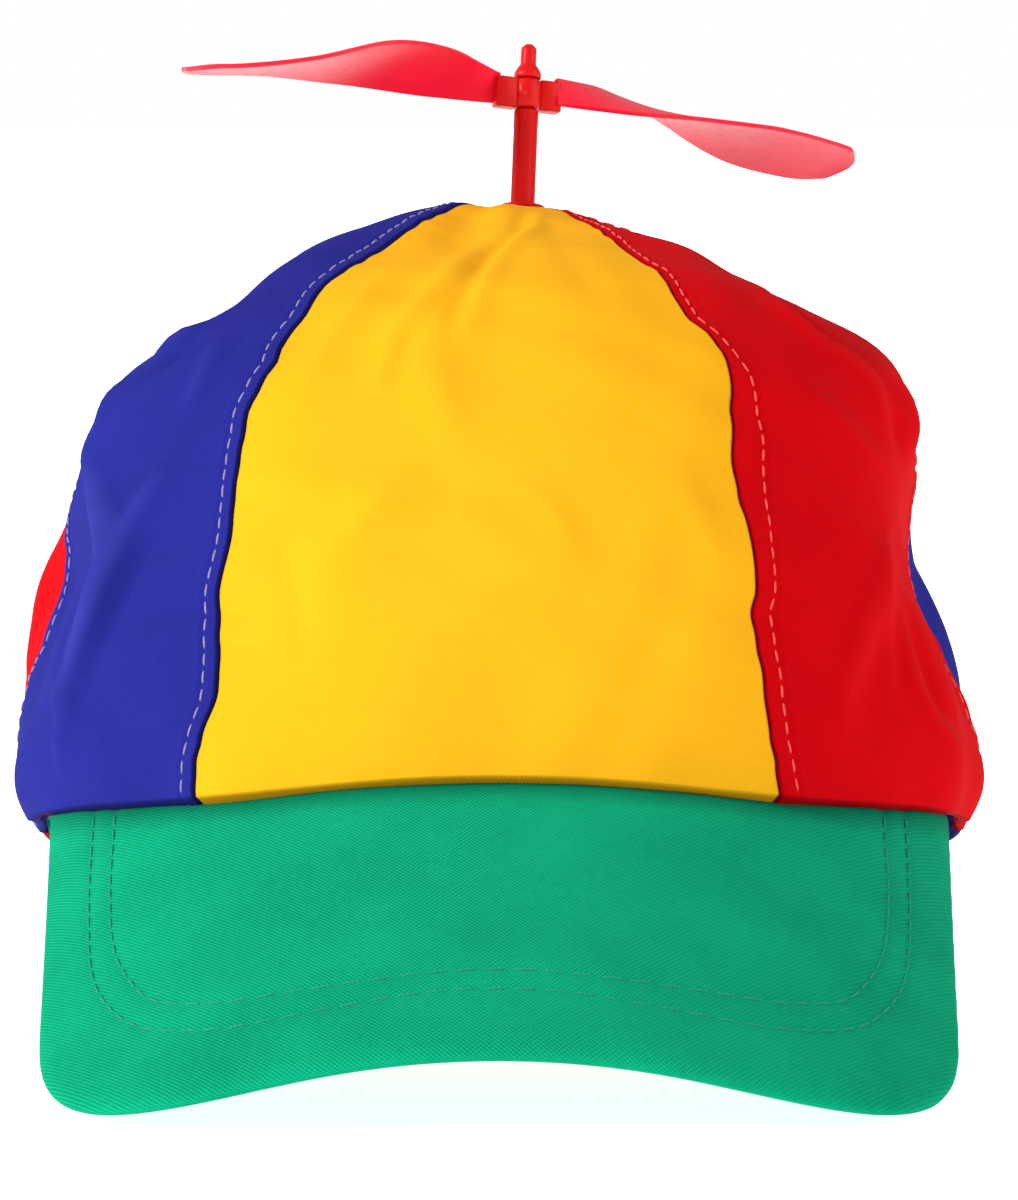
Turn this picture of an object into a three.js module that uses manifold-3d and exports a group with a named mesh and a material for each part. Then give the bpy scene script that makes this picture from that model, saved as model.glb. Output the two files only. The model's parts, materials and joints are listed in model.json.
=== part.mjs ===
// A cloth cap of six panels with a curved brim and a propeller that spins on a post.
// Millimetres, +Z up, the brim towards -Y. Left and right are a viewer's, facing the brim.
// The cap rests on a table: the back of its rim lies flat on it and the brim's front corners touch it.
import * as THREE from 'three';
import { mergeVertices } from 'three/addons/utils/BufferGeometryUtils.js';
import Module from 'manifold-3d';

// Crown, measured square to the plane of its rim
const crownHalfWidth = 86.5;
const crownHalfLength = 97;
const crownHeight = 117.5;
const clothWall = 1.6;
const seamGap = 0.3;
const planRoundness = 2.3;
const frontRoundness = 2.15;
const sideRoundness = 2.15;
const rearRoundness = 2.2;
const apexOffset = 4;
const crownCoreShare = 0.3;
const topHoleRadius = 2.8;

// How the cap rests
const restTilt = 14;
const rearFlatStart = 92;

// Brim
const brimHalfAngle = 66;
const brimLength = 77;
const brimFrontBend = 120;
const brimFrontHalfWidth = 73.5;
const brimCorner = 40;
const brimCornerFullness = 0.68;
const brimWall = 3;
const brimGap = 0.3;

// Post and propeller
const postRadius = 2.2;
const postHeight = 19;
const postLean = 2.3;
const flangeRadius = 4.2;
const flangeHeight = 1.2;
const washerRadius = 5.5;
const washerHeight = 1.4;
const clampGap = 0.3;
const pinRadius = 1.4;
const bossRadius = 2.6;
const bossHeight = 5.4;
const bossBoreRadius = 1.75;
const bossGap = 0.3;
const collarRadius = 2.1;
const collarHeight = 1.4;
const pinTipHeight = 5;
const armLength = 3.6;
const armHeight = 5.6;
const armDepth = 3;
const bladeReach = 66;
const bladeWidth = 21.4;
const bladeWall = 0.8;
const bladeEdgeBack = 2;
const bladeEdgeDrop = 1.7;
const bladeTurn = 17.5;

// Fineness of the meshes
const panelRows = 18;
const panelColumns = 12;
const panelRowCrowding = 1.15;
const brimRows = 8;
const brimColumns = 40;
const bladeRows = 18;
const bladeColumns = 4;
const bladeRowCrowding = 1.5;
const roundSides = 20;

// The panels, by the azimuths of their two seams: 0 is the front, 90 the right and 180 the rear
const PANELS = [
  { name: 'front_panel', from: -31.2, to: 27.5, colour: 0xfcc41c },
  { name: 'front_right_panel', from: 27.5, to: 91, colour: 0xd8060f },
  { name: 'rear_right_panel', from: 91, to: 152, colour: 0x28219c },
  { name: 'rear_panel', from: 152, to: 208, colour: 0xfcc41c },
  { name: 'rear_left_panel', from: 208, to: 268, colour: 0xd8060f },
  { name: 'front_left_panel', from: 268, to: 328.8, colour: 0x28219c },
];

// The rim round the cap: lift above its plane, as a share of the crown's height, and tuck inwards,
// as a share of the crown's half width
const RIM = [
  { azimuth: 0, lift: 0.012, tuck: 0.01 },
  { azimuth: 30, lift: -0.004, tuck: 0.012 },
  { azimuth: 62, lift: 0.016, tuck: 0.03 },
  { azimuth: 90, lift: 0.035, tuck: 0.055 },
  { azimuth: 125, lift: 0.02, tuck: 0.045 },
  { azimuth: 160, lift: 0.0, tuck: 0.02 },
  { azimuth: 180, lift: 0.0, tuck: 0.015 },
];
const rimTuckHeight = 12;

// Dents and folds: centre as azimuth and share of the way up, depth as a share of the crown's half
// width (positive bulges out), half widths round and up, and lean in degrees round per share up
const FOLDS = [
  { azimuth: -80, along: 0.46, depth: 0.08, round: 40, up: 0.14, lean: 0 },
  { azimuth: 78, along: 0.47, depth: 0.08, round: 38, up: 0.13, lean: 0 },
  { azimuth: 82, along: 0.27, depth: -0.11, round: 22, up: 0.11, lean: 0 },
  { azimuth: -76, along: 0.25, depth: -0.05, round: 16, up: 0.13, lean: 0 },
  { azimuth: -108, along: 0.24, depth: 0.085, round: 16, up: 0.14, lean: 0 },
  { azimuth: 110, along: 0.18, depth: 0.03, round: 14, up: 0.1, lean: 0 },
  { azimuth: -85, along: 0.56, depth: -0.085, round: 35, up: 0.075, lean: 0 },
  { azimuth: 85, along: 0.66, depth: -0.05, round: 45, up: 0.13, lean: 0 },
  { azimuth: 85, along: 0.56, depth: -0.03, round: 30, up: 0.05, lean: 0 },
  { azimuth: 60, along: 0.85, depth: -0.03, round: 50, up: 0.07, lean: 0 },
  { azimuth: 0, along: 0.72, depth: -0.06, round: 45, up: 0.13, lean: 0 },
  { azimuth: -16, along: 0.76, depth: -0.022, round: 9, up: 0.12, lean: -60 },
  { azimuth: -4, along: 0.78, depth: 0.014, round: 8, up: 0.14, lean: -50 },
  { azimuth: 62, along: 0.1, depth: 0.02, round: 5, up: 0.1, lean: 40 },
  { azimuth: 72, along: 0.1, depth: -0.025, round: 5, up: 0.09, lean: 40 },
  { azimuth: -60, along: 0.16, depth: 0.018, round: 6, up: 0.14, lean: 50 },
];

// The blade from its root to its tip: place as a share of its reach, chord, trailing edge set in and
// trailing edge dropped as shares of its width, and the pitch of the chord in degrees
const BLADE = [
  { place: 0.08, chord: 0.27, setIn: 0, dropped: 0, pitch: 56 },
  { place: 0.2, chord: 0.46, setIn: 0, dropped: 0, pitch: 39 },
  { place: 0.3, chord: 0.63, setIn: 0, dropped: 0, pitch: 27 },
  { place: 0.4, chord: 0.77, setIn: 0, dropped: -0.01, pitch: 18 },
  { place: 0.5, chord: 0.9, setIn: 0, dropped: -0.02, pitch: 9 },
  { place: 0.6, chord: 0.98, setIn: 0, dropped: -0.02, pitch: 1 },
  { place: 0.7, chord: 1.0, setIn: 0.01, dropped: -0.02, pitch: -5 },
  { place: 0.8, chord: 0.95, setIn: 0.02, dropped: 0, pitch: -8 },
  { place: 0.9, chord: 0.84, setIn: 0.05, dropped: 0.04, pitch: -9 },
  { place: 0.95, chord: 0.7, setIn: 0.09, dropped: 0.06, pitch: -9 },
  { place: 0.98, chord: 0.5, setIn: 0.16, dropped: 0.08, pitch: -10 },
  { place: 1.0, chord: 0.12, setIn: 0.32, dropped: 0.11, pitch: -10 },
];

const degrees = Math.PI / 180;
const tilt = restTilt * degrees;
// The table's normal and the resting height of the rim plane's centre, both in the cap's own frame
const tableNormal = new THREE.Vector3(0, -Math.sin(tilt), Math.cos(tilt));
const rimCentreHeight = rearFlatStart * Math.sin(tilt);

const wrapped = (azimuth) => THREE.MathUtils.euclideanModulo(azimuth + 180, 360) - 180;

// A smooth value from a table's column at a place along it, level where the column turns back
function fromTable(table, keyColumn, column, place) {
  const last = table.length - 1;
  let i = table.findIndex((row) => row[keyColumn] > place) - 1;
  if (i < 0) i = place <= table[0][keyColumn] ? 0 : last - 1;
  const slope = (k) => {
    const [before, here, after] = [table[Math.max(k - 1, 0)], table[k], table[Math.min(k + 1, last)]];
    const turnsBack = (here[column] - before[column]) * (after[column] - here[column]) <= 0;
    return turnsBack ? 0 : (after[column] - before[column]) / (after[keyColumn] - before[keyColumn]);
  };
  const span = table[i + 1][keyColumn] - table[i][keyColumn];
  const s = THREE.MathUtils.clamp((place - table[i][keyColumn]) / span, 0, 1);
  const [s2, s3] = [s * s, s * s * s];
  return (2 * s3 - 3 * s2 + 1) * table[i][column] + (s3 - 2 * s2 + s) * span * slope(i)
    + (3 * s2 - 2 * s3) * table[i + 1][column] + (s3 - s2) * span * slope(i + 1);
}

function roundnessAt(turn) {
  const lengthwise = Math.cos(turn) ** 2;
  const end = Math.cos(turn) > 0 ? frontRoundness : rearRoundness;
  return end * lengthwise + sideRoundness * (1 - lengthwise);
}

function foldDepth(azimuth, along) {
  let depth = 0;
  for (const fold of FOLDS) {
    const across = wrapped(azimuth - fold.azimuth - fold.lean * (along - fold.along)) / fold.round;
    const up = (along - fold.along) / fold.up;
    depth += fold.depth * crownHalfWidth * Math.exp(-across * across - up * up);
  }
  return depth;
}

// A point of the crown's outer face in the cap's own frame; along runs from 0 at the rim to 1 on top
function crownPoint(azimuth, along) {
  const turn = azimuth * degrees;
  const roundness = roundnessAt(turn);
  const ease = roundness / 2;
  const [rising, falling] = [along ** ease, (1 - along) ** ease];
  const arc = (Math.PI / 2) * rising / (rising + falling);
  const reach = Math.cos(arc) ** (2 / roundness);
  const rise = Math.sin(arc) ** (2 / roundness);
  const side = Math.abs(wrapped(azimuth));
  const height = rise * crownHeight;
  const tucked = Math.max(0, 1 - height / rimTuckHeight) ** 2;
  const inward = tucked * fromTable(RIM, 'azimuth', 'tuck', side) * crownHalfWidth;
  const [across, ahead] = [Math.sin(turn), Math.cos(turn)].map(
    (share) => Math.sign(share) * Math.abs(share) ** (2 / planRoundness),
  );
  const point = new THREE.Vector3(
    (crownHalfWidth * reach - inward) * across + apexOffset * rise * rise,
    -(crownHalfLength * reach - inward) * ahead,
    height,
  );
  const pressedUp = Math.max(0, point.y - rearFlatStart) * Math.tan(tilt);
  const lift = fromTable(RIM, 'azimuth', 'lift', side) * crownHeight;
  point.z += (lift + pressedUp) * (1 - rise) ** 2;
  const core = new THREE.Vector3(0, 0, Math.min(point.z, crownHeight * crownCoreShare));
  const outward = point.clone().sub(core).normalize();
  return point.addScaledVector(outward, foldDepth(azimuth, along));
}

function crownNormal(azimuth, along) {
  const [stepRound, stepUp] = [0.5, 0.01];
  const low = Math.max(along - stepUp, 0);
  const round = crownPoint(azimuth + stepRound, along).sub(crownPoint(azimuth - stepRound, along));
  const up = crownPoint(azimuth, along + stepUp).sub(crownPoint(azimuth, low));
  return round.cross(up).normalize();
}

// The inner face lies one cloth wall inside; the rim's lower edge is level with the table
function crownInnerPoint(azimuth, along) {
  const inward = crownNormal(azimuth, along).negate();
  if (along === 0) inward.projectOnPlane(tableNormal).normalize();
  return crownPoint(azimuth, along).addScaledVector(inward, clothWall);
}

// The share of the way up at which the crown is down to a radius about the post
function alongAtRadius(azimuth, radius) {
  let [low, high] = [0.5, 1];
  for (let i = 0; i < 40; i += 1) {
    const middle = (low + high) / 2;
    const point = crownPoint(azimuth, middle);
    if (Math.hypot(point.x - apexOffset, point.y) > radius) low = middle;
    else high = middle;
  }
  return low;
}

// A closed mesh between two grids of points of the same size: the outer face's rows run
// anticlockwise as seen from outside, from the first row up
function wallBetween(outer, inner) {
  const [rows, columns] = [outer.length, outer[0].length];
  const positions = [...outer.flat(), ...inner.flat()].flatMap((p) => [p.x, p.y, p.z]);
  const indices = [];
  const at = (row, column, layer) => layer * rows * columns + row * columns + column;
  const quad = (a, b, c, d) => indices.push(a, b, c, a, c, d);
  for (let r = 0; r + 1 < rows; r += 1) {
    for (let c = 0; c + 1 < columns; c += 1) {
      quad(at(r, c, 0), at(r, c + 1, 0), at(r + 1, c + 1, 0), at(r + 1, c, 0));
      quad(at(r, c, 1), at(r + 1, c, 1), at(r + 1, c + 1, 1), at(r, c + 1, 1));
    }
  }
  for (let c = 0; c + 1 < columns; c += 1) {
    quad(at(0, c, 1), at(0, c + 1, 1), at(0, c + 1, 0), at(0, c, 0));
    quad(at(rows - 1, c, 0), at(rows - 1, c + 1, 0), at(rows - 1, c + 1, 1), at(rows - 1, c, 1));
  }
  for (let r = 0; r + 1 < rows; r += 1) {
    quad(at(r, 0, 0), at(r + 1, 0, 0), at(r + 1, 0, 1), at(r, 0, 1));
    quad(at(r, columns - 1, 1), at(r + 1, columns - 1, 1), at(r + 1, columns - 1, 0), at(r, columns - 1, 0));
  }
  const geometry = new THREE.BufferGeometry();
  geometry.setAttribute('position', new THREE.Float32BufferAttribute(positions, 3));
  geometry.setIndex(indices);
  geometry.computeVertexNormals();
  return geometry;
}

// One panel; its sides keep half a seam gap to the seam's own line
function panelGeometry(panel) {
  const grid = (pointAt) => Array.from({ length: panelRows + 1 }, (_, row) => {
    const share = (row / panelRows) ** panelRowCrowding;
    return Array.from({ length: panelColumns + 1 }, (__, column) => {
      const across = column / panelColumns;
      const azimuth = THREE.MathUtils.lerp(panel.from, panel.to, across);
      const along = share * alongAtRadius(azimuth, topHoleRadius);
      const backOff = seamGap / 2 / crownPoint(azimuth - 0.5, along)
        .distanceTo(crownPoint(azimuth + 0.5, along));
      const kept = THREE.MathUtils.lerp(panel.from + backOff, panel.to - backOff, across);
      return pointAt(kept, along);
    });
  });
  return wallBetween(grid(crownPoint), grid(crownInnerPoint));
}

// The brim's board leaves the rim's front at a droop angle and is bent down at both sides, so that
// it meets the rim where the brim ends and is bent as much as named along its front
function brimSheet(droop) {
  const forward = new THREE.Vector3(0, -Math.cos(droop), -Math.sin(droop));
  const upward = new THREE.Vector3(0, -Math.sin(droop), Math.cos(droop));
  const front = crownPoint(0, 0).addScaledVector(tableNormal, -brimGap);
  const end = crownPoint(brimHalfAngle, 0).addScaledVector(tableNormal, -brimGap);
  const reach = end.clone().sub(front);
  const endAhead = reach.dot(forward);
  const rootBend = -reach.dot(upward) / reach.x ** 2;
  const bendAt = (ahead) => {
    const share = (ahead - endAhead) / (brimLength - endAhead);
    return THREE.MathUtils.lerp(rootBend, 1 / (2 * brimFrontBend), share);
  };
  const at = (across, ahead) => front.clone()
    .add(new THREE.Vector3(across, 0, 0))
    .addScaledVector(forward, ahead)
    .addScaledVector(upward, -bendAt(ahead) * across * across);
  const normalAt = (across, ahead) => new THREE.Vector3(2 * bendAt(ahead) * across, 0, 0)
    .add(upward)
    .normalize();
  return { at, normalAt, endAcross: end.x, endAhead };
}

// Half of the brim's outline on its flat board, from where it leaves the rim to the middle of its front
function brimOutline(sheet) {
  const path = new THREE.Path();
  const handle = brimCorner * (1 - brimCornerFullness);
  path.moveTo(sheet.endAcross, sheet.endAhead);
  path.lineTo(brimFrontHalfWidth, brimLength - brimCorner);
  path.bezierCurveTo(
    brimFrontHalfWidth, brimLength - handle,
    brimFrontHalfWidth - handle, brimLength,
    brimFrontHalfWidth - brimCorner, brimLength,
  );
  path.lineTo(0, brimLength);
  return path.getSpacedPoints(brimColumns / 2);
}

// The droop at which the brim's underside just touches the table
function restingDroop() {
  const lowest = (droop) => {
    const sheet = brimSheet(droop);
    const heights = brimOutline(sheet).map((p) => sheet.at(p.x, p.y)
      .addScaledVector(sheet.normalAt(p.x, p.y), -brimWall).dot(tableNormal));
    return Math.min(...heights) + rimCentreHeight;
  };
  let [high, low] = [5 * degrees, 80 * degrees];
  for (let i = 0; i < 40; i += 1) {
    const middle = (low + high) / 2;
    if (lowest(middle) > 0) high = middle;
    else low = middle;
  }
  return high;
}

function brimGeometry() {
  const sheet = brimSheet(restingDroop());
  const half = brimOutline(sheet);
  const mirrored = half.slice(0, -1).map((p) => new THREE.Vector2(-p.x, p.y));
  const outline = [...mirrored, ...half.reverse()];
  const top = Array.from({ length: brimRows + 2 }, () => []);
  const bottom = Array.from({ length: brimRows + 2 }, () => []);
  const seatShare = clothWall / brimLength;
  outline.forEach((place, column) => {
    const azimuth = THREE.MathUtils.lerp(-brimHalfAngle, brimHalfAngle, column / brimColumns);
    const outer = crownPoint(azimuth, 0).addScaledVector(tableNormal, -brimGap);
    const inner = crownInnerPoint(azimuth, 0).addScaledVector(tableNormal, -brimGap);
    const edge = sheet.at(place.x, place.y);
    const normal = sheet.normalAt(place.x, place.y);
    for (let row = 0; row < brimRows + 2; row += 1) {
      const share = row === 0 ? 0 : (row - 1) / brimRows;
      const ahead = THREE.MathUtils.lerp(seatShare, 1, share);
      const point = row === 0 ? inner : outer.clone().lerp(edge, share === 0 ? 0 : ahead);
      const below = row === 0 ? tableNormal : tableNormal.clone().lerp(normal, ahead).normalize();
      top[row].push(point);
      bottom[row].push(point.clone().addScaledVector(below, -brimWall));
    }
  });
  return wallBetween(bottom, top);
}

// The lowest that the cloth hangs under the top, down to the edge of the washer that clamps it
function clothBelowTop() {
  const round = Array.from({ length: roundSides }, (_, i) => i * 360 / roundSides);
  const heights = round.map((azimuth) => (
    crownInnerPoint(azimuth, alongAtRadius(azimuth, washerRadius)).z));
  return crownHeight - Math.min(...heights);
}

function postGeometry() {
  const flangeGap = clampGap + flangeRadius * Math.sin(postLean * degrees);
  const washerTop = -clothBelowTop() - clampGap - washerRadius * Math.sin(postLean * degrees);
  const collarBottom = postHeight + bossHeight + 2 * bossGap;
  const collarTop = collarBottom + collarHeight;
  const tip = collarTop + pinTipHeight;
  const profile = [
    [0, washerTop - washerHeight],
    [washerRadius, washerTop - washerHeight],
    [washerRadius, washerTop],
    [postRadius, washerTop],
    [postRadius, flangeGap],
    [flangeRadius, flangeGap],
    [flangeRadius, flangeGap + flangeHeight / 2],
    [postRadius, flangeGap + flangeHeight],
    [postRadius, postHeight],
    [pinRadius, postHeight],
    [pinRadius, collarBottom],
    [collarRadius, collarBottom],
    [collarRadius, collarBottom + collarHeight / 2],
    [pinRadius, collarTop],
    [pinRadius, tip - pinRadius / 2],
    [pinRadius / 2, tip],
    [0, tip],
  ].map(([radius, height]) => new THREE.Vector2(radius, height));
  return new THREE.LatheGeometry(profile, roundSides).rotateX(Math.PI / 2);
}

const wasm = await Module();
wasm.setup();

function toSolid(geometry) {
  const bare = geometry.clone();
  bare.deleteAttribute('normal');
  bare.deleteAttribute('uv');
  const merged = mergeVertices(bare, 1e-4);
  return new wasm.Manifold(new wasm.Mesh({
    numProp: 3,
    vertProperties: merged.attributes.position.array,
    triVerts: new Uint32Array(merged.index.array),
  }));
}

function fromSolid(solid) {
  const mesh = solid.getMesh();
  const geometry = new THREE.BufferGeometry();
  geometry.setAttribute('position', new THREE.BufferAttribute(mesh.vertProperties, 3));
  geometry.setIndex(new THREE.BufferAttribute(mesh.triVerts, 1));
  geometry.computeVertexNormals();
  return geometry;
}

// One blade along +X; its chord widens and turns from its trailing edge
function bladeGeometry() {
  const rows = Array.from({ length: bladeRows + 1 }, (_, row) => {
    const share = 1 - (1 - row / bladeRows) ** bladeRowCrowding;
    const place = THREE.MathUtils.lerp(BLADE[0].place, 1, share);
    const read = (column) => fromTable(BLADE, 'place', column, place);
    const pitch = read('pitch') * degrees;
    const edge = new THREE.Vector3(
      place * bladeReach,
      read('setIn') * bladeWidth - bladeEdgeBack,
      -read('dropped') * bladeWidth - bladeEdgeDrop,
    );
    const across = new THREE.Vector3(0, Math.cos(pitch), Math.sin(pitch));
    const face = new THREE.Vector3(0, -Math.sin(pitch), Math.cos(pitch));
    return { edge, across, face, chord: read('chord') * bladeWidth };
  });
  const layer = (height) => rows.map(({ edge, across, face, chord }) => (
    Array.from({ length: bladeColumns + 1 }, (_, column) => edge.clone()
      .addScaledVector(across, chord * column / bladeColumns)
      .addScaledVector(face, height))));
  return wallBetween(layer(-bladeWall / 2), layer(bladeWall / 2));
}

function propellerGeometry() {
  const boss = toSolid(new THREE.CylinderGeometry(bossRadius, bossRadius, bossHeight, roundSides)
    .rotateX(Math.PI / 2));
  const bore = toSolid(new THREE.CylinderGeometry(bossBoreRadius, bossBoreRadius, bossHeight * 2, roundSides)
    .rotateX(Math.PI / 2));
  const armStart = (bossBoreRadius + bossRadius) / 2;
  const armEnd = bossRadius + armLength;
  const armBox = new THREE.BoxGeometry(armEnd - armStart, armDepth, armHeight)
    .translate((armStart + armEnd) / 2, 0, 0);
  let solid = boss;
  for (const turn of [0, Math.PI]) {
    solid = solid.add(toSolid(armBox.clone().rotateZ(turn)));
    solid = solid.add(toSolid(bladeGeometry().rotateZ(turn)));
  }
  return fromSolid(solid.subtract(bore));
}

const finish = (colour, roughness) => new THREE.MeshStandardMaterial({ color: colour, roughness, metalness: 0 });

function namedMesh(name, geometry, material) {
  const mesh = new THREE.Mesh(geometry, material);
  mesh.name = name;
  return mesh;
}

function buildCap() {
  const cap = new THREE.Group();
  for (const panel of PANELS) {
    cap.add(namedMesh(panel.name, panelGeometry(panel), finish(panel.colour, 0.85)));
  }
  cap.add(namedMesh('brim', brimGeometry(), finish(0x0fa76a, 0.8)));
  const post = namedMesh('post', postGeometry(), finish(0xcc1418, 0.4));
  const propeller = namedMesh('propeller', propellerGeometry(), finish(0xdf2a3c, 0.35));
  propeller.position.z = postHeight + bossGap + bossHeight / 2;
  propeller.rotation.z = bladeTurn * degrees;
  const spindle = new THREE.Group().add(post, propeller);
  spindle.position.set(apexOffset, 0, crownHeight);
  spindle.rotation.y = postLean * degrees;
  cap.add(spindle);
  cap.rotation.x = -tilt;
  cap.position.z = rimCentreHeight;
  return cap;
}

// The frame's origin is the middle of the resting cap's outline, on the table
function centred(object) {
  const holder = new THREE.Group().add(object);
  const box = new THREE.Box3().setFromObject(holder, true);
  const middle = box.getCenter(new THREE.Vector3());
  holder.position.set(-middle.x, -middle.y, -box.min.z);
  return new THREE.Group().add(holder);
}

export default centred(buildCap());
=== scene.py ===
import json
import math

import bmesh
import bpy
import numpy as np
from bpy.props import FloatProperty, FloatVectorProperty, IntProperty, PointerProperty
from mathutils import Matrix, Vector
from mathutils.bvhtree import BVHTree


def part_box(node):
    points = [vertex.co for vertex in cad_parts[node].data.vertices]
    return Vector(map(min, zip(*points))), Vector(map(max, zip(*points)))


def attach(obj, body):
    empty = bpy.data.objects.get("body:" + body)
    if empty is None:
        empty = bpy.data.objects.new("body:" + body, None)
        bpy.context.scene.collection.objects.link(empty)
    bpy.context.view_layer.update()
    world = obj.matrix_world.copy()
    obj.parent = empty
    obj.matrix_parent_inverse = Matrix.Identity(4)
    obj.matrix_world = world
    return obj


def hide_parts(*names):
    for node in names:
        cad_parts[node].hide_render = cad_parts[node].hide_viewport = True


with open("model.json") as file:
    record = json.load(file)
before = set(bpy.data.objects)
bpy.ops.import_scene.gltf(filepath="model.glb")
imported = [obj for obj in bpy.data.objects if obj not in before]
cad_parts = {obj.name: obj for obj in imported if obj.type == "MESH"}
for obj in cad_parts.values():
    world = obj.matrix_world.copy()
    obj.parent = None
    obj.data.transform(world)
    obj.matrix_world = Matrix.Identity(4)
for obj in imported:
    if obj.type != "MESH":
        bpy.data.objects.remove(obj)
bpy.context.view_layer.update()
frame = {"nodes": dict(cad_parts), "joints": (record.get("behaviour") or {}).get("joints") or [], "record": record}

bl_info = {
    "name": "Propeller cap",
    "version": (1, 0, 0),
    "blender": (4, 5, 0),
    "location": "View3D > Sidebar > Propeller cap",
    "description": "Dresses the packed propeller cap in sewn cloth, stitches and moulded plastic",
    "category": "Object",
}

MM = 0.001

# The crown's panels in the order they follow each other round the head, going right from the front
RING = (
    "front_panel",
    "front_right_panel",
    "rear_right_panel",
    "rear_panel",
    "rear_left_panel",
    "front_left_panel",
)

# The cloth of each panel
PANEL_CLOTH = {
    "front_panel": "yellow",
    "front_right_panel": "red",
    "rear_right_panel": "blue",
    "rear_panel": "yellow",
    "rear_left_panel": "red",
    "front_left_panel": "blue",
}

# Which panels carry a row of topstitching along their first and second seam, going right, and its
# distance from the seam in mm at a share of the way from the rim to the top
EVEN_ROW = ((0, 3.0), (0.8, 3.0), (1, 2.4))
TOPSTITCHED = {
    "front_right_panel": {
        "first": ((0, 3.8), (0.1, 3.5), (0.2, 4.0), (0.28, 4.2), (0.34, 5.4), (0.39, 6.2),
                  (0.43, 5.4), (0.47, 4.2), (0.5, 2.5), (0.53, 1.7), (0.7, 1.6), (1, 1.4)),
        "second": EVEN_ROW,
    },
    "rear_right_panel": {"second": EVEN_ROW},
    "rear_left_panel": {"first": EVEN_ROW},
    "front_left_panel": {"first": EVEN_ROW, "second": EVEN_ROW},
}

# How far each seam wanders sideways, in mm, at a share of the way from the rim to the top.
# The number is the place in the ring of the panel that starts at that seam.
SEAM_WANDER = {
    0: ((0, -1.0), (0.05, -1.0), (0.08, 0), (0.134, 2.2), (0.16, 2.1), (0.2, 1.2), (0.24, 0.2),
        (0.29, 1.0), (0.35, -0.4), (0.4, -1.4), (0.43, -2.2), (0.46, -0.8), (0.49, 0),
        (0.52, -1.2), (0.56, 0), (0.6, -0.6), (0.66, 1.1), (0.74, 0.3), (0.82, -0.6),
        (0.9, -2.0), (1, -1.4)),
    1: ((0, 1.9), (0.045, 1.0), (0.08, 0), (0.13, -0.6), (0.19, -1.4), (0.215, -1.8), (0.24, -0.6),
        (0.29, -0.6), (0.34, -1.6), (0.375, -1.8), (0.425, -0.4), (0.46, 1.2), (0.485, 1.6),
        (0.52, 0.6), (0.555, -2.6), (0.6, -2.6), (0.64, -2.0), (0.69, -3.2), (0.77, -1.4),
        (0.84, -0.2), (0.92, 1.6), (1, 1.0)),
    2: ((0, -3), (0.08, -7), (0.14, -11), (0.2, -12), (0.26, -8), (0.33, -2), (0.42, 0.8),
        (0.6, -0.7), (0.8, 0.6), (1, 0)),
    3: ((0, 0), (0.12, -0.8), (0.3, 0.9), (0.5, -0.8), (0.7, 0.7), (0.85, -0.5), (1, 0)),
    4: ((0, 0), (0.15, 0.9), (0.35, -0.7), (0.5, 0.8), (0.68, -0.8), (0.85, 0.5), (1, 0)),
    5: ((0, 1), (0.14, 2), (0.19, 5), (0.235, 13), (0.28, 14.5), (0.33, 11), (0.39, 4), (0.45, 0),
        (0.62, 0.7), (0.82, -0.6), (1, 0)),
}

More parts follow.
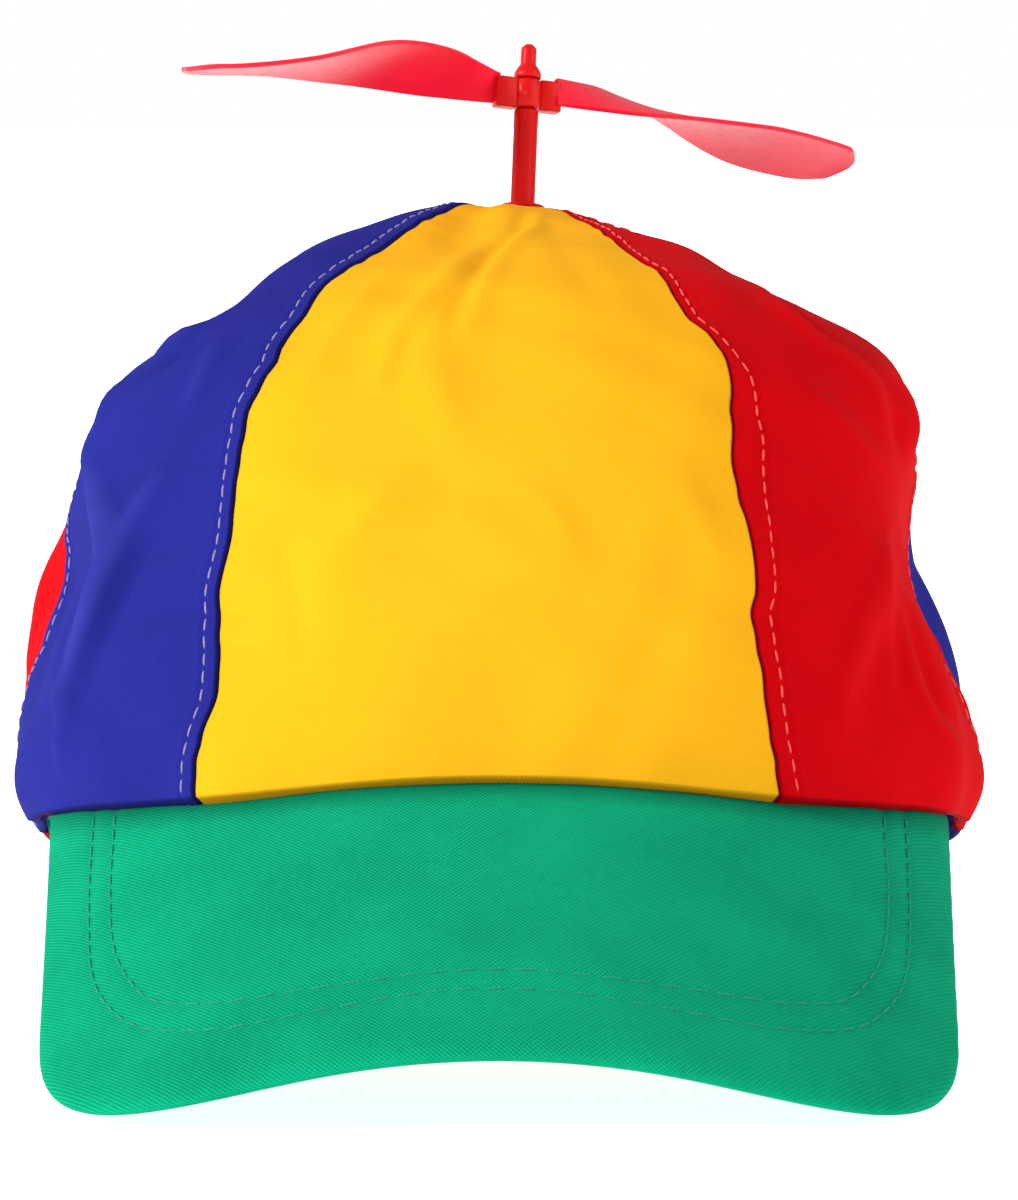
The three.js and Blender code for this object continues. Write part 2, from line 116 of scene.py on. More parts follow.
# Folds pressed or raised in the cloth: depth in mm (positive is a ridge), half width in mm, and the
# line it follows, as places across the panel and up it
FOLDS = {
    "front_panel": (
        (-1.0, 2.2, ((0.6, 0.9), (0.56, 0.81), (0.475, 0.68), (0.453, 0.58), (0.42, 0.52))),
        (1.0, 1.9, ((0.66, 0.9), (0.61, 0.81), (0.51, 0.68), (0.485, 0.58), (0.45, 0.51))),
        (0.9, 2.3, ((0.4, 0.74), (0.385, 0.63), (0.345, 0.564), (0.294, 0.516), (0.286, 0.46))),
        (-0.5, 2.2, ((0.37, 0.55), (0.33, 0.515), (0.32, 0.46), (0.34, 0.43))),
        (0.9, 3.2, ((0.2, 0.66), (0.15, 0.56), (0.115, 0.5), (0.11, 0.46))),
        (0.8, 3.4, ((0.39, 0.51), (0.4, 0.465), (0.45, 0.41), (0.48, 0.36))),
        (0.9, 3.2, ((0.43, 0.37), (0.36, 0.338), (0.29, 0.305), (0.24, 0.275))),
        (-0.4, 3.2, ((0.7, 0.8), (0.715, 0.68), (0.735, 0.6), (0.76, 0.53))),
        (0.8, 3.0, ((0.57, 0.34), (0.61, 0.3), (0.65, 0.26))),
        (-0.6, 2.8, ((0.12, 0.3), (0.18, 0.23), (0.19, 0.16))),
        (0.7, 3.2, ((0.87, 0.35), (0.92, 0.26))),
        (-0.4, 11.0, ((0.4, 0.2), (0.6, 0.215), (0.75, 0.2))),
    ),
    "front_right_panel": (
        (1.7, 3.0, ((0.43, 0.67), (0.32, 0.57), (0.33, 0.53), (0.42, 0.508), (0.465, 0.485),
                    (0.48, 0.44))),
        (-1.3, 2.6, ((0.5, 0.66), (0.37, 0.59), (0.38, 0.545), (0.46, 0.528))),
        (1.1, 2.6, ((0.18, 0.465), (0.28, 0.438), (0.39, 0.41), (0.55, 0.39))),
        (1.4, 3.6, ((0.51, 0.53), (0.62, 0.497), (0.69, 0.475), (0.675, 0.44))),
        (-1.3, 2.8, ((0.53, 0.46), (0.585, 0.425))),
        (1.4, 3.2, ((0.45, 0.33), (0.37, 0.265), (0.305, 0.21), (0.225, 0.15), (0.16, 0.1))),
        (0.9, 2.4, ((0.37, 0.265), (0.375, 0.213), (0.34, 0.138))),
        (1.4, 2.6, ((0.42, 0.24), (0.45, 0.156), (0.49, 0.113), (0.58, 0.078))),
        (-1.4, 2.4, ((0.48, 0.23), (0.525, 0.188), (0.56, 0.144), (0.67, 0.1))),
        (-2.8, 14.0, ((0.62, 0.27), (0.75, 0.255), (0.88, 0.24), (1.0, 0.23))),
        (0.6, 5.0, ((0.14, 0.23), (0.14, 0.19))),
        (1.3, 5.0, ((0.656, 0.485), (0.65, 0.456), (0.64, 0.43))),
    ),
    "rear_right_panel": (
        (3.0, 9.0, ((0.14, 0.36), (0.15, 0.3), (0.16, 0.25), (0.17, 0.19))),
        (1.2, 4.0, ((0.3, 0.1), (0.36, 0.2), (0.33, 0.3), (0.42, 0.4))),
        (-1.2, 4.0, ((0.42, 0.08), (0.47, 0.19), (0.45, 0.29), (0.53, 0.38))),
        (0.9, 5.0, ((0.72, 0.12), (0.66, 0.24), (0.7, 0.36))),
        (-0.9, 3.5, ((0.3, 0.62), (0.45, 0.58), (0.62, 0.6), (0.74, 0.56))),
        (0.9, 3.5, ((0.34, 0.56), (0.48, 0.53), (0.62, 0.545))),
    ),
    "rear_panel": (
        (-1.2, 4.5, ((0.2, 0.14), (0.3, 0.2), (0.45, 0.22), (0.62, 0.2), (0.78, 0.15))),
        (0.9, 4.5, ((0.24, 0.21), (0.38, 0.27), (0.56, 0.28), (0.72, 0.24))),
        (0.8, 5.0, ((0.3, 0.66), (0.36, 0.56), (0.34, 0.46))),
        (-0.8, 5.0, ((0.66, 0.7), (0.62, 0.6), (0.66, 0.48))),
    ),
    "rear_left_panel": (
        (1.6, 8.0, ((0.86, 0.36), (0.86, 0.28), (0.88, 0.22))),
        (-1.2, 4.0, ((0.6, 0.08), (0.55, 0.18), (0.58, 0.28), (0.5, 0.37))),
        (1.2, 4.0, ((0.72, 0.08), (0.66, 0.2), (0.68, 0.3), (0.6, 0.4))),
        (0.8, 5.0, ((0.3, 0.12), (0.34, 0.25), (0.28, 0.36))),
        (-0.9, 3.5, ((0.28, 0.58), (0.4, 0.6), (0.56, 0.56), (0.7, 0.58))),
        (0.9, 3.5, ((0.3, 0.53), (0.42, 0.55), (0.56, 0.515))),
    ),
    "front_left_panel": (
        (-1.6, 9.0, ((0.1, 0.33), (0.14, 0.28), (0.2, 0.24))),
        (3.2, 3.6, ((0.36, 0.43), (0.45, 0.38), (0.55, 0.33), (0.62, 0.293), (0.6, 0.265), (0.58, 0.235),
                    (0.565, 0.2), (0.555, 0.15))),
        (-2.6, 3.2, ((0.84, 0.31), (0.72, 0.292), (0.675, 0.266), (0.645, 0.232), (0.63, 0.2),
                     (0.61, 0.165))),
        (1.4, 2.6, ((0.8, 0.53), (0.805, 0.48), (0.805, 0.44))),
        (1.3, 3.2, ((0.8, 0.385), (0.7, 0.347), (0.64, 0.31))),
        (1.3, 3.2, ((0.36, 0.5), (0.45, 0.45))),
        (1.8, 2.8, ((0.5, 0.165), (0.59, 0.12), (0.59, 0.07))),
        (-1.0, 6.0, ((0.86, 0.16), (0.8, 0.12), (0.72, 0.09))),
        (-1.8, 2.4, ((0.56, 0.505), (0.63, 0.52), (0.7, 0.535))),
        (1.8, 3.0, ((0.48, 0.53), (0.56, 0.545), (0.64, 0.55))),
        (1.9, 11.0, ((0.84, 0.8), (0.76, 0.7), (0.69, 0.62), (0.7, 0.56))),
        (1.8, 9.0, ((0.52, 0.5), (0.43, 0.44), (0.3, 0.4))),
    ),
}

# The directions of the soft waves in slack cloth, with how many of them there are in 100 mm
SLACK_WAVES = ((3.1, 1.2, 0.8), (-1.4, 2.9, 1.9), (0.9, -2.2, 3.6), (4.4, 1.1, -2.6), (-2.2, -3.4, -4.1))

# The brim's two rows of stitches from the middle of its front to its root, as places in mm to the
# side and ahead of the middle of the hat's outline
BRIM_STITCH_ROWS = {
    "outer": ((0, 115.3), (22, 115.5), (36, 113.9), (46, 109.8), (55.5, 101.5), (61.5, 90),
              (65, 77), (66.8, 58), (67.6, 40), (68, 22)),
    "inner": ((0, 110.5), (20, 110.4), (34, 108), (44, 104.3), (53.5, 96.5), (58.5, 86),
              (61.7, 74), (63.3, 58), (63.8, 42), (64, 27)),
}

# Beside a seam: the panel's width over which its relief grows, the distance past the stitches over
# which the doubled cloth runs out, and the half widths of the stitches' dip and of the puckers
SEAM_ROOM = (4 * MM, 22 * MM)
ALLOWANCE_END = (0.1 * MM, 2.2 * MM)
STITCH_DIP = 0.75 * MM
PUCKER_REACH = 7 * MM

# The hem over the brim: the distances ahead of the hat's middle over which it laps down and swells
# out, the distances up from the rim over which the swell starts and fades, and its turn inwards
LAP_REACH = (2 * MM, 16 * MM)
PUFF_REACH = (-30 * MM, -6 * MM)
SWELL_START = (0, 0.8 * MM)
SWELL_END = (4 * MM, 22 * MM)
RIM_TUCK = 0.7 * MM

# Folds no wider than this are lightened along their ridges, partly as wear and partly as painted highlight
WORN_AND_HIGHLIT_FOLD = 4.5 * MM

# How far from the crown's rim the painted shade reaches, up a panel and over the brim
PANEL_SHADE = 0.9 * MM
BRIM_SHADE = 7.5 * MM

# For each cloth of the crown, how much its weave varies in colour and how far its ridges are lightened, partly as
# wear and partly as painted highlight
CLOTH_LOOKS = (("yellow", 0.12, 0.3), ("red", 0.2, 0.45), ("blue", 0.3, 0.7))

# The soft lights: name, strength, then width, lean from overhead and turn from the front in degrees
LIGHTS = (("Key_light", 3.7, 30, 64, -68), ("Fill_light", 1.1, 50, 66, 70))


def sized(name, description, millimetres):
    """A setting that is a length."""
    return FloatProperty(name=name, description=description, default=millimetres * MM, unit="LENGTH")


def coloured(name, description, default):
    """A setting that is a colour."""
    return FloatVectorProperty(name=name, description=description, default=default, subtype="COLOR")


class ClothSettings(bpy.types.PropertyGroup):
    wall: sized("Cloth wall", "Thickness of a crown panel", 1.6)
    seam_sink: sized("Seam depth", "How deep the cloth turns in at a seam", 0.6)
    seam_roll: sized("Seam roll", "Width over which the cloth turns in at a seam", 0.45)
    rim_roll: sized("Rim roll", "Width over which the rim's fold turns in", 0.7)
    allowance_rise: sized("Allowance rise", "How far the doubled cloth beside a seam stands up", 0.35)
    pucker: sized("Pucker depth", "Height of the small waves along a stitched seam", 0.13)
    pucker_length: sized("Pucker length", "Distance between two waves along a seam", 9)
    slack: sized("Slack", "Height of the soft unevenness of the loose cloth", 0.9)
    stitch_length: sized("Stitch length", "Length of one stitch", 2.25)
    stitch_pitch: sized("Stitch pitch", "Distance from one stitch to the next", 3.05)
    thread: sized("Thread", "Thickness of the thread", 0.42)
    weave_pitch: sized("Weave pitch", "Distance between two ribs of the twill", 0.5)
    rim_puff: sized("Rim puff", "How far the crown swells out over the root of the brim", 1.4)
    rim_lap: sized("Rim lap", "How far the crown's hem reaches down to the brim", 0.75)
    columns: IntProperty(
        name="Columns", description="Faces across a panel", default=104, min=12)
    rows: IntProperty(
        name="Rows", description="Faces from a panel's rim to its top", default=168, min=12)


class BrimSettings(bpy.types.PropertyGroup):
    droop: FloatProperty(
        name="Droop", description="How steeply the brim slopes down ahead", default=math.radians(31),
        subtype="ANGLE")
    stitch_length: sized("Stitch length", "Length of one stitch", 3.6)
    stitch_pitch: sized("Stitch pitch", "Distance from one stitch to the next", 4.5)
    weave_pitch: sized("Weave pitch", "Distance between two ribs of the brim's twill", 0.78)
    wall: sized("Brim wall", "Thickness of the brim", 3)
    thread: sized("Thread", "Thickness of the brim's thread", 0.42)
    bend: sized("Brim bend", "Radius of the brim's curve from side to side", 120)
    groove: sized("Groove", "How deep the rows of stitches pull the cloth in", 0.22)
    groove_width: sized("Groove width", "Half width of the dip along the stitches", 1.1)


class PropellerSettings(bpy.types.PropertyGroup):
    blade_turn: FloatProperty(
        name="Blade turn", description="Angle of the blades round the post, from the hat's width",
        default=math.radians(17.5), subtype="ANGLE")
    blade_wall: sized("Blade wall", "Thickness of a blade", 0.8)
    camber: sized("Camber", "How far a blade is arched between its edges", 0.5)
    boss_radius: sized("Boss radius", "Radius of the boss on the pin", 2.6)
    boss_height: sized("Boss height", "Height of the boss on the pin", 5.4)
    bore_radius: sized("Bore radius", "Radius of the hole in the boss", 1.75)
    arm_start: sized("Arm start", "Where an arm begins, inside the boss's wall", 2.175)
    arm_end: sized("Arm end", "Where an arm ends, from the pin's axis", 6.2)
    arm_depth: sized("Arm depth", "Width of an arm from front to back", 3)
    arm_height: sized("Arm height", "Height of an arm", 5.6)
    edge: sized("Edge", "Size of the hub's softened edges", 0.3)


class PostSettings(bpy.types.PropertyGroup):
    """Heights are above the middle of the propeller's boss, along the pin."""

    radius: sized("Post radius", "Radius of the post", 2.2)
    pin_radius: sized("Pin radius", "Radius of the pin", 1.4)
    washer_radius: sized("Washer radius", "Radius of the washer under the cloth", 5.5)
    washer_height: sized("Washer height", "Height of the washer's underside", -25.88)
    washer_wall: sized("Washer wall", "Thickness of the washer", 1.4)
    flange_radius: sized("Flange radius", "Radius of the flange on the cloth", 4.2)
    flange_height: sized("Flange height", "Height of the flange's underside", -21.53)
    flange_wall: sized("Flange wall", "Thickness of the flange", 1.2)
    shoulder: sized("Shoulder", "Height at which the post narrows to its pin", -3)
    collar_radius: sized("Collar radius", "Radius of the collar", 2.45)
    collar_height: sized("Collar height", "Height of the collar's underside", 3)
    collar_wall: sized("Collar wall", "Height of the collar", 2.6)
    tip: sized("Tip", "Height of the pin's tip", 9.4)
    edge: sized("Edge", "Size of the post's softened edges", 0.18)


class ColourSettings(bpy.types.PropertyGroup):
    yellow: coloured("Yellow cloth", "Colour of the yellow panels", (0.82, 0.388, 0.01))
    red: coloured("Red cloth", "Colour of the red panels", (0.54, 0.0012, 0.004))
    blue: coloured("Blue cloth", "Colour of the blue panels", (0.017, 0.019, 0.212))
    green: coloured("Green cloth", "Colour of the brim", (0.003, 0.31, 0.155))
    pale_thread: coloured("Pale thread", "Thread on the blue cloth", (0.27, 0.24, 0.46))
    warm_thread: coloured("Warm thread", "Thread on the red cloth", (0.9, 0.085, 0.07))
    green_thread: coloured("Green thread", "Thread on the brim", (0.008, 0.3, 0.165))
    post: coloured("Post plastic", "Colour of the post and the hub", (0.64, 0.003, 0.003))
    blade: coloured("Blade plastic", "Colour of the blades", (0.92, 0.012, 0.04))
    floor: coloured("Floor", "Colour of the floor", (0.93, 0.94, 0.95))


class Wire:
    """A shader value that can be added and multiplied like a number; each operation adds a Math node."""

    def __init__(self, tree, socket):
        self.tree = tree
        self.socket = socket

    def maths(self, operation, *values):
        node = self.tree.nodes.new("ShaderNodeMath")
        node.operation = operation
        for socket, value in zip(node.inputs, values):
            if isinstance(value, Wire):
                self.tree.links.new(value.socket, socket)
            else:
                socket.default_value = value
        return Wire(self.tree, node.outputs[0])

    def __add__(self, other):
        return self.maths("ADD", self, other)

    def __sub__(self, other):
        return self.maths("SUBTRACT", self, other)

    def __rsub__(self, other):
        return self.maths("SUBTRACT", other, self)

    def __mul__(self, other):
        return self.maths("MULTIPLY", self, other)

    __radd__ = __add__
    __rmul__ = __mul__

    def sine(self):
        return self.maths("SINE", self)

    def smooth(self, low, high):
        """0 below low, 1 above high, and a smooth step between them."""
        node = self.tree.nodes.new("ShaderNodeMapRange")
        node.interpolation_type = "SMOOTHSTEP"
        self.tree.links.new(self.socket, node.inputs["Value"])
        node.inputs["From Min"].default_value = low
        node.inputs["From Max"].default_value = high
        return Wire(self.tree, node.outputs["Result"])


class Finish:
    """A material being made: its node tree, its shader, and one method that adds any other node."""

    def __init__(self, name):
        self.material = bpy.data.materials.new(name)
        self.material.use_nodes = True
        self.tree = self.material.node_tree
        self.shader = self.tree.nodes["Principled BSDF"]

    def node(self, kind, settings=None, sockets=None, output=0):
        node = self.tree.nodes.new(kind)
        for name, value in (settings or {}).items():
            setattr(node, name, value)
        for name, value in (sockets or {}).items():
            if isinstance(value, Wire):
                self.tree.links.new(value.socket, node.inputs[name])
            else:
                node.inputs[name].default_value = value
        return Wire(self.tree, node.outputs[output])

    def set(self, **sockets):
        """Constants and links of the Principled shader, named with _ for a space."""
        for name, value in sockets.items():
            socket = self.shader.inputs[name.replace("_", " ")]
            if isinstance(value, Wire):
                self.tree.links.new(value.socket, socket)
            else:
                socket.default_value = value

    def place(self):
        """The place on the object, in metres."""
        return self.node("ShaderNodeTexCoord", output="Object")

    def part(self, vector, axis):
        """One coordinate of a vector."""
        return self.node("ShaderNodeSeparateXYZ", {}, {"Vector": vector}, axis)

    def layer(self, name, axis):
        """One coordinate of a UV layer, in metres on the cloth."""
        return self.part(self.node("ShaderNodeUVMap", {"uv_map": name}), axis)

    def mixed(self, share, first, second):
        """A colour between two others."""
        return self.node(
            "ShaderNodeMix",
            {"data_type": "RGBA", "clamp_factor": True},
            {0: share, 6: first, 7: second},
            output=2,
        )

    def noise(self, place, size, detail=2.0, roughness=0.5):
        """Soft noise between 0 and 1 with blotches of about the given size in metres."""
        return self.node(
            "ShaderNodeTexNoise",
            {},
            {"Vector": place, "Scale": 1 / size, "Detail": detail, "Roughness": roughness},
        )

    def bumped(self, height, distance, strength=1.0, under=None):
        sockets = {"Height": height, "Distance": distance, "Strength": strength}
        if under is not None:
            sockets["Normal"] = under
        return self.node("ShaderNodeBump", {}, sockets)


def opaque(colour, shade=1.0):
    """An RGBA colour, darker or lighter by a factor."""
    return tuple(min(1.0, channel * shade) for channel in colour) + (1.0,)


def twill(name, colour, pitch, depth, rim_shade_reach, wear=0.0):
    """Cotton twill: fine diagonal ribs crossed by thread, with soft mottling, painted shade beside the seams and
    near the crown's rim, and narrow fold ridges lightened partly by wear and partly by painted highlight.
    """
    finish = Finish(name)
    across = finish.layer("Cloth", "X")
    up = finish.layer("Cloth", "Y")
    turn = 2 * math.pi / pitch
    rib = ((across + up * 0.9) * turn).sine() * 0.5 + 0.5
    thread = ((across * 0.9 - up * 0.8) * (turn * 0.9)).sine() * 0.5 + 0.5
    place = finish.place()
    uneven = finish.noise(place, 1.2 * MM, 2.0)
    cloud = finish.noise(place, 24 * MM, 3.0)
    height = rib * 0.6 + thread * 0.3 + uneven * 0.25
    shade = (rib * 0.5 + thread * 0.25 + uneven * 0.25) * 0.65 + cloud * 0.35
    base = finish.mixed(
        shade.smooth(0.15, 0.85), opaque(colour, 1 - depth), opaque(colour, 1 + depth * 0.8))
    # Painted shade: the cloth is darkened within a millimetre of a seam and near the crown's rim, on the panels
    # and on the brim below the crown's hem.
    painted_seam_shade = 1 - finish.layer("Edges", "X").smooth(0.2 * MM, 0.9 * MM)
    at_rim = 1 - finish.layer("Edges", "Y").smooth(0.1 * MM, rim_shade_reach)
    base = finish.mixed(painted_seam_shade * 0.5, base, opaque(colour, 0.2))
    base = finish.mixed(at_rim * 0.55, base, opaque(colour, 0.15))
    # Partly wear, partly painted highlight: the ridges of narrow folds are lightened towards a paler colour.
    if wear:
        worn_and_highlit = finish.layer("Wear", "X").smooth(0.4 * MM, 2.4 * MM)
        base = finish.mixed(worn_and_highlit * wear, base, opaque([0.02 + 1.4 * channel for channel in colour]))
    soft = finish.bumped(finish.noise(place, 8 * MM, 2.0), 0.5 * MM, 0.3)
    finish.set(
        Base_Color=base,
        Roughness=0.94 - rib * 0.1,
        Normal=finish.bumped(height, 0.2 * MM * depth, 1.0, under=soft),
        Sheen_Weight=0.01,
        Sheen_Roughness=0.4,
        Specular_IOR_Level=0.015,
    )
    return finish.material


def thread_finish(name, colour):
    """Twisted sewing thread with a slight sheen."""
    finish = Finish(name)
    place = finish.place()
    twist = 0.45 * MM
    along = finish.part(place, "X") + finish.part(place, "Z") * 1.3
    strand = (along * (2 * math.pi / twist)).sine() * 0.5 + 0.5
    fuzz = finish.noise(place, 0.5 * MM, 2.0)
    base = finish.mixed(strand * 0.7 + fuzz * 0.3, opaque(colour, 0.72), opaque(colour, 1.15))
    finish.set(
        Base_Color=base,
        Roughness=0.75 - strand * 0.15,
        Normal=finish.bumped(strand, 0.08 * MM, 0.5),
        Specular_IOR_Level=0.2,
    )
    return finish.material


def moulded(name, colour, roughness, clear=0.0, painted_glow=0.0):
    """Injection-moulded plastic: a slight flow mark, fine dust, softly varied gloss and a painted glow in its own
    colour.
    """
    finish = Finish(name)
    place = finish.place()
    flow = finish.noise(place, 22 * MM, 2.0)
    dust = finish.noise(place, 1.3 * MM, 3.0, 0.65)
    base = finish.mixed(flow.smooth(0.3, 0.7), opaque(colour, 0.9), opaque(colour, 1.08))
    finish.set(
        Base_Color=finish.mixed(dust.smooth(0.66, 0.8) * 0.08, base, (0.9, 0.8, 0.8, 1)),
        Roughness=roughness + dust.smooth(0.45, 0.75) * 0.14,
        Normal=finish.bumped(finish.noise(place, 6 * MM, 2.0), 0.12 * MM, 0.4),
        Coat_Weight=0.04,
        Specular_IOR_Level=0.2,
        Coat_Roughness=0.15,
        Transmission_Weight=clear,
        IOR=1.46,
        # Painted light: the plastic glows in its own colour, standing in for light that shines through it.
        Emission_Color=opaque(colour),
        Emission_Strength=painted_glow,
    )
    return finish.material


def floor_finish(name, colour):
    """Matt studio paper."""
    finish = Finish(name)
    place = finish.place()
    grain = finish.noise(place, 4 * MM, 2.0)
    base = finish.mixed(grain, opaque(colour, 0.995), opaque(colour))
    finish.set(
        Base_Color=base,
        Roughness=0.9,
        Specular_IOR_Level=0.1,
        Emission_Color=(1, 1, 1, 1),
        Emission_Strength=0.85,
    )
    return finish.material


def new_piece(primitive, **settings):
    """Add one of Blender's primitives while nothing else is selected."""
    bpy.ops.object.select_all(action="DESELECT")
    primitive(**settings)
    return bpy.context.active_object


def modified(piece, kind, **settings):
    """Give a piece a modifier of this kind."""
    modifier = piece.modifiers.new(kind, kind)
    for name, value in settings.items():
        setattr(modifier, name, value)


def vertex_places(mesh):
    return np.array([vertex.co for vertex in mesh.vertices])


def move_vertices(mesh, points):
    mesh.vertices.foreach_set("co", points.astype(np.float32).ravel())
    mesh.update()


def write_layer(mesh, name, across, up):
    """Write two values of each vertex into a UV layer."""
    corners = np.empty(len(mesh.loops), int)
    mesh.loops.foreach_get("vertex_index", corners)
    layer = mesh.uv_layers.get(name) or mesh.uv_layers.new(name=name)
    places = np.stack([across, up], axis=1)[corners]
    layer.data.foreach_set("uv", places.astype(np.float32).ravel())


def choose_only(piece):
    """Deselect everything else, then make this object the selected and active one."""
    bpy.ops.object.select_all(action="DESELECT")
    piece.hide_set(False)
    piece.select_set(True)
    bpy.context.view_layer.objects.active = piece


def apply_modifiers(piece):
    choose_only(piece)
    for modifier in list(piece.modifiers):
        bpy.ops.object.modifier_apply(modifier=modifier.name)


def finished(piece, name, material, body):
    """Name a piece, give it its finish, and let it ride on its body."""
    piece.name = name
    piece.data.name = name
    piece.data.materials.clear()
    piece.data.materials.append(material)
    choose_only(piece)
    bpy.ops.object.shade_smooth_by_angle(angle=math.radians(50))
    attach(piece, body)
    return piece


def merged_copy(node, name):
    """A copy of a CAD node whose loose triangles share their corners."""
    piece = bpy.data.objects.new(name, frame["nodes"][node].data.copy())
    bpy.context.collection.objects.link(piece)
    choose_only(piece)
    bpy.ops.object.mode_set(mode="EDIT")
    bpy.ops.mesh.select_all(action="SELECT")
    bpy.ops.mesh.remove_doubles(threshold=0.01 * MM)
    bpy.ops.object.mode_set(mode="OBJECT")
    return piece


def removed(piece):
    bpy.data.objects.remove(piece, do_unlink=True)


def head_mount():
    return next(mount for mount in frame["record"]["mounts"] if mount["name"] == "head_opening")


def smooth_region(seed, widest):
    """The faces reached from a seed without crossing an edge sharper than the given angle."""
    region = {seed}
    fresh = [seed]
    while fresh:
        face = fresh.pop()
        for edge in face.edges:
            if edge.calc_face_angle() < widest:
                found = set(edge.link_faces) - region
                region |= found
                fresh.extend(found)
    return region


def read_rows(node, rim_centre, up):
    """The outer wall of a panel as rows of points from its rim to its top, unsorted within a row."""
    copy = merged_copy(node, node + "_reading")
    mesh = bmesh.new()
    mesh.from_mesh(copy.data)

    def facing_out(face):
        return face.normal.dot((face.calc_center_median() - rim_centre).normalized())

    wall = smooth_region(max(mesh.faces, key=facing_out), math.radians(45))
    outer = {vertex for face in wall for vertex in face.verts}
    under = {
        vertex
        for face in set(mesh.faces) - wall
        if face.normal.dot(up) < -0.5
        for vertex in face.verts
    }
    row = outer & under
    rows = []
    seen = set()
    while row:
        rows.append([vertex.co.copy() for vertex in row])
        seen |= row
        beside = {edge.other_vert(vertex) for vertex in row for edge in vertex.link_edges}
        row = (beside & outer) - seen
    mesh.free()
    removed(copy)
    return rows


def crown_net():
    """The crown's outer wall as a net of points, rows from the rim up and columns round the head."""
    mount = head_mount()
    rim_centre = Vector(mount["pos_m"])
    up = -Vector(mount["axis"]).normalized()
    panels = [read_rows(node, rim_centre, up) for node in RING]
    right = Vector((1, 0, 0))
    ahead = up.cross(right)
    net = []
    for level in zip(*panels):
        middle = sum((point for row in level for point in row), Vector()) / sum(map(len, level))
        ring = []
        for row in level:
            centre = sum(row, Vector()) / len(row) - middle
            facing = math.atan2(centre.dot(right), -centre.dot(ahead))

            def bearing(point):
                turn = math.atan2((point - middle).dot(right), -(point - middle).dot(ahead)) - facing
                return math.remainder(turn, 2 * math.pi)

            ring.append(sorted(row, key=bearing))
        joined = []
        for number, row in enumerate(ring):
            joined.append((row[0] + ring[number - 1][-1]) / 2)
            joined.extend(row[1:-1])
        net.append([tuple(point) for point in joined])
    return np.array(net)


def spline_shares(t):
    """The four weights of a uniform cubic B-spline."""
    return (
        (1 - t) ** 3 / 6,
        (3 * t**3 - 6 * t**2 + 4) / 6,
        (-3 * t**3 + 3 * t**2 + 3 * t + 1) / 6,
        t**3 / 6,
    )


def smooth_step(value, low, high):
    share = np.clip((value - low) / (high - low), 0, 1)
    return share * share * (3 - 2 * share)


def read_table(table, place):
    """A smooth curve through a short table of (place, value), level at its turns."""
    places = np.array([row[0] for row in table], float)
    values = np.array([row[1] for row in table], float)
    index = np.clip(np.searchsorted(places, place, side="right") - 1, 0, len(places) - 2)
    ease = smooth_step(place, places[index], places[index + 1])
    return values[index] * (1 - ease) + values[index + 1] * ease


